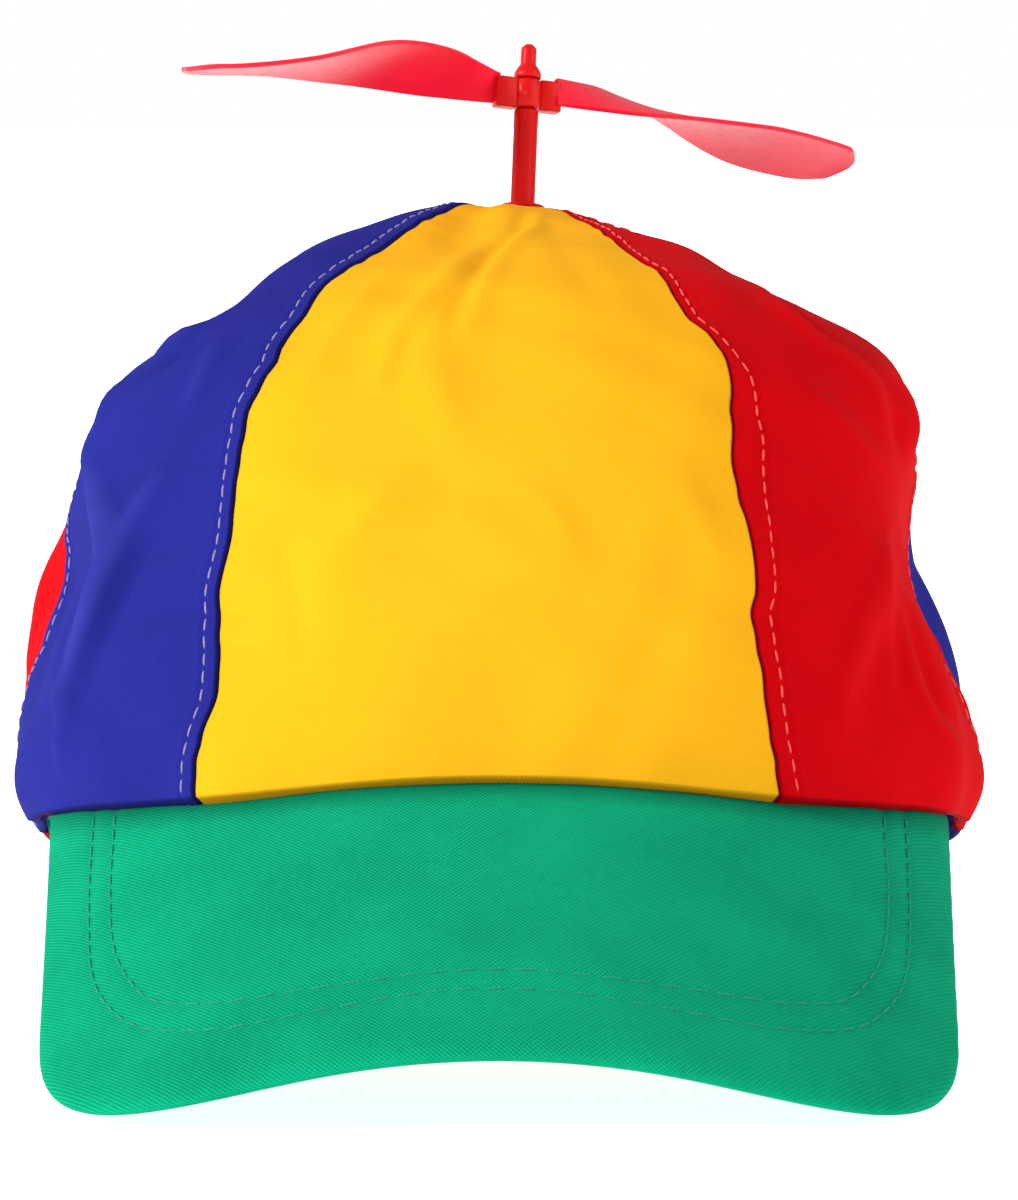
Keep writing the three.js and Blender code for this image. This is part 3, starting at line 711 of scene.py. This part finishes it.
class Crown:
    """The sewn crown as one smooth surface: panels are counted round it, and up goes from 0 to 1."""

    def __init__(self):
        self.cloth = bpy.context.scene.cap_cloth
        self.net = crown_net()
        self.levels = self.net.shape[0] - 1
        self.per_panel = self.net.shape[1] // len(RING)
        below = 2 * self.net[:1] - self.net[1:2]
        above = 2 * self.net[-1:] - self.net[-2:-1]
        self.padded = np.concatenate([below, self.net, above])
        self.seam_heights = np.linspace(0, 1, 161)
        self.seam_lengths = [self.length_up(number) for number in range(len(RING))]
        self.strokes = [stroke for node in RING for stroke in self.fold_lines(node)]

    def smooth(self, column, up):
        """The smooth surface without seams or folds, at a place round it in panels and up it."""
        column = np.asarray(column, float) * self.per_panel
        row = np.clip(np.asarray(up, float), 0, 1) * self.levels
        first_column = np.floor(column).astype(int)
        first_row = np.minimum(np.floor(row).astype(int), self.levels - 1)
        across = spline_shares(column - first_column)
        upward = spline_shares(row - first_row)
        total = 0
        for i, row_share in enumerate(upward):
            for j, column_share in enumerate(across):
                points = self.padded[first_row + i, (first_column + j - 1) % self.net.shape[1]]
                total = total + (row_share * column_share)[..., None] * points
        return total

    def outward(self, column, up):
        """The direction out of the smooth surface."""
        step = 0.004
        high = np.minimum(np.asarray(up, float) + step, 0.995)
        round_it = self.smooth(column + step, up) - self.smooth(column - step, up)
        up_it = self.smooth(column, high) - self.smooth(column, high - 2 * step)
        normal = np.cross(round_it, up_it)
        return normal / np.linalg.norm(normal, axis=-1, keepdims=True)

    def panel_width(self, number, up):
        """The length across a panel at a height."""
        shares = number + np.linspace(0, 1, 13)
        points = self.smooth(shares[:, None], np.asarray(up, float).ravel()[None, :])
        return np.linalg.norm(np.diff(points, axis=0), axis=-1).sum(axis=0)

    def seam(self, number, up):
        """Where a seam runs, round the crown, at a height."""
        number = number % len(RING)
        up = np.asarray(up, float)
        wander = read_table(SEAM_WANDER[number], up) * MM
        here = self.panel_width(number, up).reshape(up.shape)
        before = self.panel_width(number - 1, up).reshape(up.shape)
        return np.where(wander > 0, wander / here, wander / before)

    def length_up(self, number):
        points = self.smooth(number + self.seam(number, self.seam_heights), self.seam_heights)
        steps = np.linalg.norm(np.diff(points, axis=0), axis=1)
        return np.concatenate([[0], np.cumsum(steps)])

    def column(self, number, across, up):
        """A place across a panel, between its two wandering seams, counted round the crown."""
        first = number + self.seam(number, up)
        second = number + 1 + self.seam(number + 1, up)
        return first * (1 - across) + second * across

    def fold_lines(self, node):
        number = RING.index(node)
        for depth, half_width, line in FOLDS[node]:
            line = np.array(line, float)
            points = self.smooth(self.column(number, line[:, 0], line[:, 1]), line[:, 1])
            yield depth * MM, half_width * MM, points

    def fold_height(self, points, widest=math.inf):
        """How far the folds push the cloth out at these points, wide folds left out if so asked."""
        total = np.zeros(points.shape[:-1])
        for depth, half_width, line in self.strokes:
            if half_width > widest:
                continue
            nearest = np.full(total.shape, np.inf)
            reached = np.zeros(total.shape)
            for step, (start, end) in enumerate(zip(line[:-1], line[1:])):
                along = end - start
                share = np.clip(((points - start) @ along) / (along @ along), 0, 1)
                distance = np.linalg.norm(points - start - share[..., None] * along, axis=-1)
                closer = distance < nearest
                nearest = np.where(closer, distance, nearest)
                reached = np.where(closer, (step + share) / (len(line) - 1), reached)
            ends = np.sin(math.pi * np.clip(reached * 0.94 + 0.03, 0, 1)) ** 0.6
            total += depth * ends * np.exp(-((nearest / half_width) ** 2))
        return total

    def slack(self, points):
        """The soft unevenness of cloth that nothing stretches."""
        total = 0
        for number, (right, ahead, up) in enumerate(SLACK_WAVES):
            phase = (points @ np.array((right, ahead, up), float)) * 2 * math.pi / (100 * MM)
            total = total + np.sin(phase + 1.9 * number + 0.9 * np.sin(phase * 0.37 + number))
        return self.cloth.slack * total / len(SLACK_WAVES)

    def seam_height(self, node, side, distance, up):
        """The cloth's rise and fall beside a seam, at a distance from it."""
        cloth = self.cloth
        number = RING.index(node) + (1 if side == "second" else 0)
        along = np.interp(up, self.seam_heights, self.seam_lengths[number % len(RING)])
        room = smooth_step(self.panel_width(RING.index(node), up).reshape(up.shape), *SEAM_ROOM)
        row = TOPSTITCHED.get(node, {}).get(side)
        height = -cloth.seam_sink * (1 - smooth_step(distance, 0, cloth.seam_roll))
        if row:
            allowance = read_table(row, up) * MM
            edge = smooth_step(distance, 0, cloth.seam_roll)
            begins, ends = ALLOWANCE_END
            beyond = smooth_step(distance, allowance + begins, allowance + ends)
            groove = np.exp(-(((distance - allowance) / STITCH_DIP) ** 2))
            height = height + cloth.allowance_rise * (edge * (1 - beyond) - 0.9 * groove)
        phase = 2 * math.pi * along / cloth.pucker_length
        wave = np.sin(phase + 1.7 * np.sin(phase / 3.1 + number)) + 0.5 * np.sin(phase * 0.47 + number)
        reach = np.exp(-((distance / PUCKER_REACH) ** 2))
        return room * (height + cloth.pucker * wave * reach)

    def cloth_points(self, node, across, up):
        """Points of the finished outer face of a panel."""
        number = RING.index(node)
        column = self.column(number, across, up)
        points = self.smooth(column, up)
        first = self.smooth(self.column(number, np.zeros_like(across), up), up)
        second = self.smooth(self.column(number, np.ones_like(across), up), up)
        rim = self.smooth(self.column(number, across, np.zeros_like(up)), np.zeros_like(up))
        height = self.fold_height(points) + self.slack(points)
        height += self.seam_height(node, "first", np.linalg.norm(points - first, axis=-1), up)
        height += self.seam_height(node, "second", np.linalg.norm(points - second, axis=-1), up)
        from_rim = np.linalg.norm(points - rim, axis=-1)
        cloth = self.cloth
        ahead = -points[..., 1]
        over_brim = smooth_step(ahead, *LAP_REACH)
        beside = smooth_step(ahead, *PUFF_REACH)
        swell = smooth_step(from_rim, *SWELL_START) * (1 - smooth_step(from_rim, *SWELL_END))
        height += cloth.rim_puff * beside * swell
        at_rim = 1 - smooth_step(from_rim, 0, cloth.rim_roll)
        height -= RIM_TUCK * at_rim
        lowered = (cloth.rim_lap * over_brim * at_rim)[..., None] * np.array((0, 0, 1))
        return points + self.outward(column, up) * height[..., None] - lowered


def crowded(share, strength):
    """Shares from 0 to 1, closer together at both ends."""
    return share - strength * np.sin(2 * math.pi * share) / (2 * math.pi)


def cloth_panel(crown, node):
    """One crown panel: a grid laid over the crown, folded in at its seams and thickened inwards."""
    cloth = crown.cloth
    panel = new_piece(
        bpy.ops.mesh.primitive_grid_add,
        x_subdivisions=cloth.columns, y_subdivisions=cloth.rows, size=1, calc_uvs=True)
    mesh = panel.data
    flat = vertex_places(mesh)
    across = crowded(flat[:, 0] + 0.5, 0.78)
    up = crowded(flat[:, 1] + 0.5, 0.66)
    points = crown.cloth_points(node, across, up)
    move_vertices(mesh, points)
    mesh.uv_layers[0].name = "Cloth"
    number = RING.index(node)
    width = crown.panel_width(number, up)
    height = np.interp(up, crown.seam_heights, crown.seam_lengths[number])
    write_layer(mesh, "Cloth", (across - 0.5) * width, height)
    # Distances from the seams and from the rim, which place the painted shade.
    write_layer(mesh, "Edges", np.minimum(across, 1 - across) * width, height)
    # Heights of the narrow fold ridges, which place the wear and painted highlight.
    ridges = np.maximum(crown.fold_height(points, WORN_AND_HIGHLIT_FOLD), 0)
    write_layer(mesh, "Wear", ridges, ridges)
    modified(panel, "SOLIDIFY", thickness=cloth.wall, offset=-1)
    apply_modifiers(panel)
    return panel


def stitch_row(name, starts, ends, outs, thread):
    """A row of stitches, each a flattened bead of thread bridging a start and an end."""
    bead = new_piece(bpy.ops.mesh.primitive_uv_sphere_add, segments=8, ring_count=6, radius=0.5)
    shape = vertex_places(bead.data)
    faces = [tuple(polygon.vertices) for polygon in bead.data.polygons]
    removed(bead)
    ends_full = np.sign(shape[:, 0]) * np.abs(2 * shape[:, 0]) ** 0.6 / 2
    points = []
    corners = []
    for start, end, out in zip(starts, ends, outs):
        along = end - start
        length = np.linalg.norm(along)
        along = along / length
        side = np.cross(out, along)
        side /= np.linalg.norm(side)
        out = np.cross(along, side)
        middle = (start + end) / 2
        bow = (0.25 - ends_full**2) * thread * 0.6
        for x, y, z, lift in zip(ends_full, shape[:, 1], shape[:, 2], bow):
            points.append(middle + along * x * length + side * y * thread + out * (z * thread + lift))
        first = len(corners) // len(faces) * len(shape)
        corners.extend(tuple(corner + first for corner in face) for face in faces)
    mesh = bpy.data.meshes.new(name)
    mesh.from_pydata([tuple(point) for point in points], [], corners)
    row = bpy.data.objects.new(name, mesh)
    bpy.context.collection.objects.link(row)
    return row


def seam_stitches(crown, node, side):
    """The topstitching along one seam of a panel."""
    cloth = crown.cloth
    number = RING.index(node)
    lengths = crown.seam_lengths[(number + (side == "second")) % len(RING)]
    tucked = 1.5 * MM
    sewn_share = 0.955
    widest_share = 0.35
    count = int((lengths[-1] * sewn_share - tucked) / cloth.stitch_pitch)

    def place(length):
        up = np.interp(length, lengths, crown.seam_heights)
        share = read_table(TOPSTITCHED[node][side], up) * MM / crown.panel_width(number, up)
        across = np.minimum(share, widest_share)
        if side == "second":
            across = 1 - across
        return crown.cloth_points(node, across, up), crown.outward(crown.column(number, across, up), up)

    begin = tucked + np.arange(count) * cloth.stitch_pitch
    starts, _ = place(begin)
    ends, _ = place(begin + cloth.stitch_length)
    _, outs = place(begin + cloth.stitch_length / 2)
    lift = outs * cloth.thread * 0.18
    return stitch_row(f"{node}_{side}_stitches", starts + lift, ends + lift, outs, cloth.thread)


class CAP_OT_camera(bpy.types.Operator):
    """Places the camera where the photograph was taken from"""

    bl_idname = "cap.camera"
    bl_label = "Camera"

    def execute(self, context):
        sensor = 36
        sensor_pixels = 1200
        focal_pixels = 5641
        camera = bpy.data.cameras.new("Camera")
        camera.sensor_fit = "VERTICAL"
        camera.sensor_height = sensor
        camera.sensor_width = sensor
        camera.lens = sensor * focal_pixels / sensor_pixels
        camera.clip_end = 100
        holder = bpy.data.objects.new("Camera", camera)
        holder.location = (2.12 * MM, -968.46 * MM, 155.5 * MM)
        holder.rotation_euler = (math.radians(85), 0, 0)
        context.collection.objects.link(holder)
        context.scene.camera = holder
        return {"FINISHED"}


class CAP_OT_crown(bpy.types.Operator):
    """Sews the six crown panels"""

    bl_idname = "cap.crown"
    bl_label = "Crown panels"

    def execute(self, context):
        crown = Crown()
        colours = context.scene.cap_colours
        pitch = context.scene.cap_cloth.weave_pitch
        cloths = {
            name: twill(name + "_twill", getattr(colours, name), pitch, depth, PANEL_SHADE, wear)
            for name, depth, wear in CLOTH_LOOKS
        }
        threads = {
            "blue": thread_finish("pale_thread", colours.pale_thread),
            "red": thread_finish("warm_thread", colours.warm_thread),
        }
        for node in RING:
            colour = PANEL_CLOTH[node]
            panel = cloth_panel(crown, node)
            finished(panel, node + "_cloth", cloths[colour], "cap")
            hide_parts(node)
            for side in TOPSTITCHED.get(node, {}):
                row = seam_stitches(crown, node, side)
                finished(row, row.name, threads[colour], "cap")
        return {"FINISHED"}


def half_row(table):
    """A row of stitches across the whole brim: its table, mirrored and rounded by a spline."""
    half = np.array(table, float)
    mirrored = np.concatenate([half[:0:-1] * (-1, 1), half])
    ends = [2 * mirrored[0] - mirrored[1], *mirrored, 2 * mirrored[-1] - mirrored[-2]]
    steps = 16
    points = []
    for first, second, third, fourth in zip(ends, ends[1:], ends[2:], ends[3:]):
        for t in np.arange(0, 1, 1 / steps):
            points.append(
                0.5 * ((2 * second) + (third - first) * t
                       + (2 * first - 5 * second + 4 * third - fourth) * t**2
                       + (3 * second - first - 3 * third + fourth) * t**3))
    return np.array(points) * MM


def brim_surface(piece):
    """Drops places in plan onto the top of the brim: their points and the direction out of it."""
    tree = BVHTree.FromObject(piece, bpy.context.evaluated_depsgraph_get())
    middle = head_mount()["pos_m"][0]
    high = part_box("brim")[1].z + 10 * MM

    def dropped(place):
        hit, normal, _, _ = tree.ray_cast(
            Vector((middle + place[0], -place[1], high)), Vector((0, 0, -1)))
        return (None, None) if hit is None else (np.array(hit), np.array(normal))

    return dropped


def stitch_path(dropped, table):
    """The row's points on the brim, with the direction out of it, evenly spaced along it."""
    found = [dropped(place) for place in half_row(table)]
    kept = [(point, out) for point, out in found if point is not None]
    points = np.array([point for point, _ in kept])
    outs = np.array([out for _, out in kept])
    lengths = np.concatenate([[0], np.cumsum(np.linalg.norm(np.diff(points, axis=0), axis=1))])
    return points, outs, lengths


def press_groove(piece, paths, settings):
    """Pulls the top of the brim in along its rows of stitches."""
    mesh = piece.data
    places = vertex_places(mesh)
    normals = np.array([vertex.normal for vertex in mesh.vertices])
    nearest = np.full(len(places), np.inf)
    for points, _, _ in paths:
        for point in points:
            nearest = np.minimum(nearest, np.linalg.norm(places - point, axis=1))
    top = smooth_step(normals[:, 2], 0.1, 0.4)
    depth = settings.groove * np.exp(-((nearest / settings.groove_width) ** 2)) * top
    places -= normals * depth[:, None]
    move_vertices(mesh, places)


def brim_layers(mesh, settings):
    """Lays the twill along the bent brim, and notes how far each point is from the crown's rim, where the brim
    gets painted shade.
    """
    while mesh.uv_layers:
        mesh.uv_layers.remove(mesh.uv_layers[0])
    points = vertex_places(mesh)
    normals = np.array([vertex.normal for vertex in mesh.vertices])
    turned_out = np.arcsin(np.clip(points[:, 0] / settings.bend, -0.95, 0.95))
    sine, cosine = math.sin(settings.droop), math.cos(settings.droop)
    level = np.cos(turned_out)
    top = np.stack([np.sin(turned_out), -sine * level, cosine * level], axis=1)
    round_edge = ((normals * top).sum(axis=1) - 1) * settings.wall / 2
    up_slope = points[:, 1] * cosine + points[:, 2] * sine + round_edge
    write_layer(mesh, "Cloth", settings.bend * turned_out, up_slope)
    no_seam = np.full(len(points), 1.0)
    away = no_seam.copy()
    rim = crown_net()[0]
    for start, end in zip(rim, np.roll(rim, -1, axis=0)):
        for share in np.linspace(0, 1, 6):
            beside = points - start * (1 - share) - end * share
            away = np.minimum(away, np.linalg.norm(beside, axis=1))
    write_layer(mesh, "Edges", no_seam, away)


def brim_row(name, dropped, table, settings):
    """One of the brim's rows of stitches."""
    points, outs, lengths = stitch_path(dropped, table)
    thread = settings.thread
    count = int((lengths[-1] - settings.stitch_length) / settings.stitch_pitch)
    spare = lengths[-1] - count * settings.stitch_pitch
    begin = spare / 2 + np.arange(count) * settings.stitch_pitch

    def at(values, where):
        return np.stack([np.interp(where, lengths, values[:, axis]) for axis in range(3)], axis=1)

    normals = at(outs, begin + settings.stitch_length / 2)
    normals /= np.linalg.norm(normals, axis=1, keepdims=True)
    lift = normals * thread * 0.05
    starts = at(points, begin) + lift
    ends = at(points, begin + settings.stitch_length) + lift
    return stitch_row(name, starts, ends, normals, thread)


class CAP_OT_brim(bpy.types.Operator):
    """Covers the brim in green twill and stitches it"""

    bl_idname = "cap.brim"
    bl_label = "Brim"

    def execute(self, context):
        colours = context.scene.cap_colours
        settings = context.scene.cap_brim
        brim = merged_copy("brim", "brim_cloth")
        bpy.ops.object.mode_set(mode="EDIT")
        bpy.ops.mesh.select_all(action="SELECT")
        bpy.ops.mesh.tris_convert_to_quads(
            face_threshold=math.radians(60), shape_threshold=math.radians(70))
        bpy.ops.object.mode_set(mode="OBJECT")
        modified(brim, "SUBSURF", levels=3, render_levels=3)
        apply_modifiers(brim)
        dropped = brim_surface(brim)
        paths = [stitch_path(dropped, table) for table in BRIM_STITCH_ROWS.values()]
        press_groove(brim, paths, settings)
        brim_layers(brim.data, settings)
        # The green twill is painted darker near the crown's rim, as shade under the hem.
        cloth = twill("green_twill", colours.green, settings.weave_pitch, 0.4, BRIM_SHADE)
        finished(brim, "brim_cloth", cloth, "cap")
        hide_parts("brim")
        dropped = brim_surface(brim)
        thread = thread_finish("green_thread", colours.green_thread)
        for name, table in BRIM_STITCH_ROWS.items():
            row = brim_row(f"brim_{name}_stitches", dropped, table, settings)
            finished(row, row.name, thread, "cap")
        return {"FINISHED"}


def pin_frame():
    """The post's own axes, as a matrix: its axis up, and its right as near the hat's right as can be."""
    joint = frame["joints"][0]
    axis = Vector(joint["axis"]).normalized()
    ahead = axis.cross(Vector((1, 0, 0))).normalized()
    right = ahead.cross(axis)
    turn = Matrix((right, ahead, axis)).transposed().to_4x4()
    return Matrix.Translation(Vector(joint["pos_m"])) @ turn


def local_points(node):
    """A node's corners, seen in the pin's own axes."""
    back = pin_frame().inverted()
    return np.array([back @ vertex.co for vertex in frame["nodes"][node].data.vertices])


def turned(profile, steps=56, ring=False):
    """A round piece from its profile, a list of (radius, height); a ring's profile ends where it began."""
    radius, height = profile[0]
    piece = new_piece(
        bpy.ops.mesh.primitive_circle_add,
        vertices=steps, radius=radius, fill_type="NOTHING" if ring else "NGON",
        location=(0, 0, height))
    bpy.ops.object.transform_apply(location=True)
    bpy.ops.object.mode_set(mode="EDIT")
    bpy.ops.mesh.select_all(action="SELECT")
    for next_radius, next_height in profile[1:]:
        bpy.ops.mesh.extrude_region_move(
            TRANSFORM_OT_translate={"value": (0, 0, next_height - height)})
        grow = next_radius / radius
        bpy.ops.transform.resize(value=(grow, grow, 1), center_override=(0, 0, next_height))
        radius, height = next_radius, next_height
    bpy.ops.mesh.select_all(action="SELECT")
    bpy.ops.mesh.remove_doubles(threshold=0.001 * MM)
    bpy.ops.mesh.normals_make_consistent(inside=False)
    bpy.ops.object.mode_set(mode="OBJECT")
    return piece


def softened(profile, edge, ring=False):
    """A turned profile with each of its corners cut back a little."""
    before = [profile[-2] if ring else profile[0], *profile[:-1]]
    after = [*profile[1:], profile[1] if ring else profile[-1]]
    rounded = []
    for previous, corner, following in zip(before, profile, after):
        for other in (previous, following):
            away = (other[0] - corner[0], other[1] - corner[1])
            length = math.hypot(*away)
            share = 0 if length == 0 else min(0.4, edge / length)
            rounded.append((corner[0] + away[0] * share, corner[1] + away[1] * share))
    if ring:
        rounded = rounded[1:-1] + [rounded[1]]
    return rounded


def blade_edges(settings):
    """The two edges of a blade, row by row from the hub out, in the pin's axes turned to the blade."""
    points = local_points("propeller")
    turn = Matrix.Rotation(-settings.blade_turn, 3, "Z")
    points = points @ np.array(turn).T
    clear_of_arm = 0.4 * MM
    same_row = 0.02 * MM
    outboard = points[points[:, 0] > settings.arm_end + clear_of_arm]
    rows = {}
    for point in outboard:
        rows.setdefault(round(point[0] / same_row), []).append(point)
    edges = []
    for key in sorted(rows):
        row = np.unique(np.round(rows[key], 7), axis=0)
        middle = row.mean(axis=0)
        spread = (row - middle)[:, 1:]
        chord = np.linalg.svd(spread, full_matrices=False)[2][0]
        chord = chord if chord[0] > 0 else -chord
        along = spread @ chord
        near = row[np.argsort(along)[:2]].mean(axis=0)
        far = row[np.argsort(along)[-2:]].mean(axis=0)
        edges.append((near, far))
    return np.array(edges)


def through_points(points, share):
    """A smooth curve through points, at shares of the way along them."""
    lengths = np.linalg.norm(np.diff(points.mean(axis=1), axis=0), axis=1)
    places = np.concatenate([[0], np.cumsum(lengths)]) / lengths.sum()
    slopes = np.gradient(points, places, axis=0)
    index = np.clip(np.searchsorted(places, share, side="right") - 1, 0, len(places) - 2)
    gap = (places[index + 1] - places[index])[:, None, None]
    t = ((share - places[index]) / gap[:, 0, 0])[:, None, None]
    return (
        (2 * t**3 - 3 * t**2 + 1) * points[index]
        + (t**3 - 2 * t**2 + t) * gap * slopes[index]
        + (3 * t**2 - 2 * t**3) * points[index + 1]
        + (t**3 - t**2) * gap * slopes[index + 1]
    )


def propeller_blade(settings):
    """One blade, with its edges rounded and its face slightly arched."""
    columns, rows = 24, 96
    usual_chord = 21 * MM
    edges = blade_edges(settings)
    root = 2 * edges[:1] - edges[1:2]
    edges = np.concatenate([root, edges])
    blade = new_piece(
        bpy.ops.mesh.primitive_grid_add, x_subdivisions=rows, y_subdivisions=columns, size=1)
    flat = vertex_places(blade.data)
    along = crowded(flat[:, 0] + 0.5, 0.3)
    across = crowded(flat[:, 1] + 0.5, 0.6)[:, None]
    both = through_points(edges, along)
    near, far = both[:, 0], both[:, 1]
    chord = far - near
    face = np.cross((1, 0, 0), chord)
    face /= np.linalg.norm(face, axis=1, keepdims=True)
    chord_length = np.linalg.norm(chord, axis=1, keepdims=True)
    arch = 4 * across * (1 - across) * settings.camber * chord_length / usual_chord
    move_vertices(blade.data, near + chord * across + face * arch)
    modified(blade, "SOLIDIFY", thickness=settings.blade_wall, offset=0)
    modified(
        blade, "BEVEL",
        width=settings.blade_wall * 0.42, segments=3, limit_method="ANGLE", angle_limit=math.radians(60))
    apply_modifiers(blade)
    return blade


class CAP_OT_post(bpy.types.Operator):
    """Turns the post with its flange, its pin and the collar over the propeller"""

    bl_idname = "cap.post"
    bl_label = "Post"

    def execute(self, context):
        post = context.scene.cap_post
        low, flange, high = post.washer_height, post.flange_height, post.collar_height
        profile = [
            (post.washer_radius, low),
            (post.washer_radius, low + post.washer_wall),
            (post.radius, low + post.washer_wall),
            (post.radius, flange),
            (post.flange_radius, flange),
            (post.flange_radius, flange + post.flange_wall / 2),
            (post.radius, flange + post.flange_wall),
            (post.radius, post.shoulder),
            (post.pin_radius, post.shoulder),
            (post.pin_radius, high),
            (post.collar_radius, high),
            (post.collar_radius, high + post.collar_wall * 0.35),
            ((post.collar_radius + post.pin_radius) / 2, high + post.collar_wall * 0.75),
            (post.pin_radius, high + post.collar_wall),
            (post.pin_radius, post.tip - post.pin_radius / 2),
            (post.pin_radius / 2, post.tip),
        ]
        piece = turned(softened(profile, post.edge))
        piece.data.transform(pin_frame())
        finish = moulded("post_plastic", context.scene.cap_colours.post, 0.34)
        finished(piece, "post_moulded", finish, "cap")
        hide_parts("post")
        return {"FINISHED"}


def hub_arm(settings, side):
    """The block at one side of the boss that holds a blade's root."""
    length = settings.arm_end - settings.arm_start
    arm = new_piece(bpy.ops.mesh.primitive_cube_add, size=1)
    bpy.ops.object.mode_set(mode="EDIT")
    bpy.ops.transform.resize(value=(length, settings.arm_depth, settings.arm_height))
    bpy.ops.transform.translate(value=(side * (settings.arm_start + length / 2), 0, 0))
    bpy.ops.mesh.bevel(offset=settings.edge, segments=2, affect="EDGES")
    bpy.ops.object.mode_set(mode="OBJECT")
    return arm


def propeller_hub(settings):
    """The boss that turns on the pin, with the two arms that hold the blades."""
    inner, outer, half = settings.bore_radius, settings.boss_radius, settings.boss_height / 2
    profile = [(inner, -half), (outer, -half), (outer, half), (inner, half), (inner, -half)]
    boss = turned(softened(profile, settings.edge, ring=True), ring=True)
    for side in (-1, 1):
        arm = hub_arm(settings, side)
        modified(boss, "BOOLEAN", operation="UNION", object=arm)
        apply_modifiers(boss)
        removed(arm)
    return boss


class CAP_OT_propeller(bpy.types.Operator):
    """Makes the two blades, the boss and its arms"""

    bl_idname = "cap.propeller"
    bl_label = "Propeller"

    def execute(self, context):
        colours = context.scene.cap_colours
        settings = context.scene.cap_propeller
        # The blades get a faint painted glow, standing in for light shining through the thin plastic.
        finish = moulded("blade_plastic", colours.blade, 0.34, 0.04, 0.07)
        blade = propeller_blade(settings)
        place = pin_frame() @ Matrix.Rotation(settings.blade_turn, 4, "Z")
        other = blade.copy()
        other.data = blade.data.copy()
        context.collection.objects.link(other)
        blade.data.transform(place)
        other.data.transform(place @ Matrix.Rotation(math.pi, 4, "Z"))
        for piece, name in ((blade, "first_blade"), (other, "second_blade")):
            finished(piece, name, finish, "propeller")
        hub = propeller_hub(settings)
        hub.data.transform(place)
        hub_finish = moulded("hub_plastic", colours.post, 0.34)
        finished(hub, "propeller_hub", hub_finish, "propeller")
        for piece in (blade, other, hub):
            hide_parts("propeller")
        return {"FINISHED"}


def studio_world():
    """White all round to the eye, and dimmer as a light, so that the side lights shape the cloth."""
    world = bpy.data.worlds.new("Studio")
    world.use_nodes = True
    tree = world.node_tree
    path = tree.nodes.new("ShaderNodeLightPath")
    painted_glow = tree.nodes["Background"]
    painted_glow.inputs["Color"].default_value = (1, 1, 1, 1)
    seen, ambient = 1.0, 0.45
    strength = Wire(tree, path.outputs["Is Camera Ray"]) * (seen - ambient) + ambient
    tree.links.new(strength.socket, painted_glow.inputs["Strength"])
    return world


def soft_sun(name, energy, width, lean, turn):
    """A broad far light, leaning from straight overhead and turned round from the front."""
    lamp = bpy.data.lights.new(name, "SUN")
    lamp.energy = energy
    lamp.angle = math.radians(width)
    holder = bpy.data.objects.new(name, lamp)
    aim = Matrix.Rotation(math.radians(turn), 3, "Z") @ Matrix.Rotation(math.radians(lean), 3, "X")
    holder.rotation_euler = aim.to_euler()
    bpy.context.collection.objects.link(holder)


class CAP_OT_stage(bpy.types.Operator):
    """Lays the pale floor and hangs the soft lights"""

    bl_idname = "cap.stage"
    bl_label = "Stage"

    def execute(self, context):
        colours = context.scene.cap_colours
        floor = new_piece(
            bpy.ops.mesh.primitive_circle_add, vertices=64, radius=40, fill_type="NGON")
        floor.name = "floor"
        floor.data.materials.append(floor_finish("studio_paper", colours.floor))
        context.scene.world = studio_world()
        context.scene.view_settings.view_transform = "Standard"
        for light in LIGHTS:
            soft_sun(*light)
        return {"FINISHED"}


class CAP_PT_sidebar(bpy.types.Panel):
    """Lists the steps that dress the cap"""

    bl_idname = "CAP_PT_sidebar"
    bl_label = "Propeller cap"
    bl_space_type = "VIEW_3D"
    bl_region_type = "UI"
    bl_category = "Propeller cap"

    def draw(self, context):
        for operator in OPERATORS:
            self.layout.operator(operator.bl_idname)


GROUPS = (ClothSettings, BrimSettings, PropellerSettings, PostSettings, ColourSettings)
OPERATORS = (CAP_OT_camera, CAP_OT_crown, CAP_OT_brim, CAP_OT_post, CAP_OT_propeller, CAP_OT_stage)
CLASSES = (*GROUPS, *OPERATORS, CAP_PT_sidebar)


def register():
    for kind in CLASSES:
        bpy.utils.register_class(kind)
    bpy.types.Scene.cap_cloth = PointerProperty(type=ClothSettings)
    bpy.types.Scene.cap_brim = PointerProperty(type=BrimSettings)
    bpy.types.Scene.cap_propeller = PointerProperty(type=PropellerSettings)
    bpy.types.Scene.cap_post = PointerProperty(type=PostSettings)
    bpy.types.Scene.cap_colours = PointerProperty(type=ColourSettings)


def unregister():
    for name in ("cap_cloth", "cap_brim", "cap_propeller", "cap_post", "cap_colours"):
        delattr(bpy.types.Scene, name)
    for kind in reversed(CLASSES):
        bpy.utils.unregister_class(kind)


def main():
    register()
    bpy.ops.cap.camera()
    bpy.ops.cap.crown()
    bpy.ops.cap.brim()
    bpy.ops.cap.post()
    bpy.ops.cap.propeller()
    bpy.ops.cap.stage()


if __name__ == "__main__":
    main()
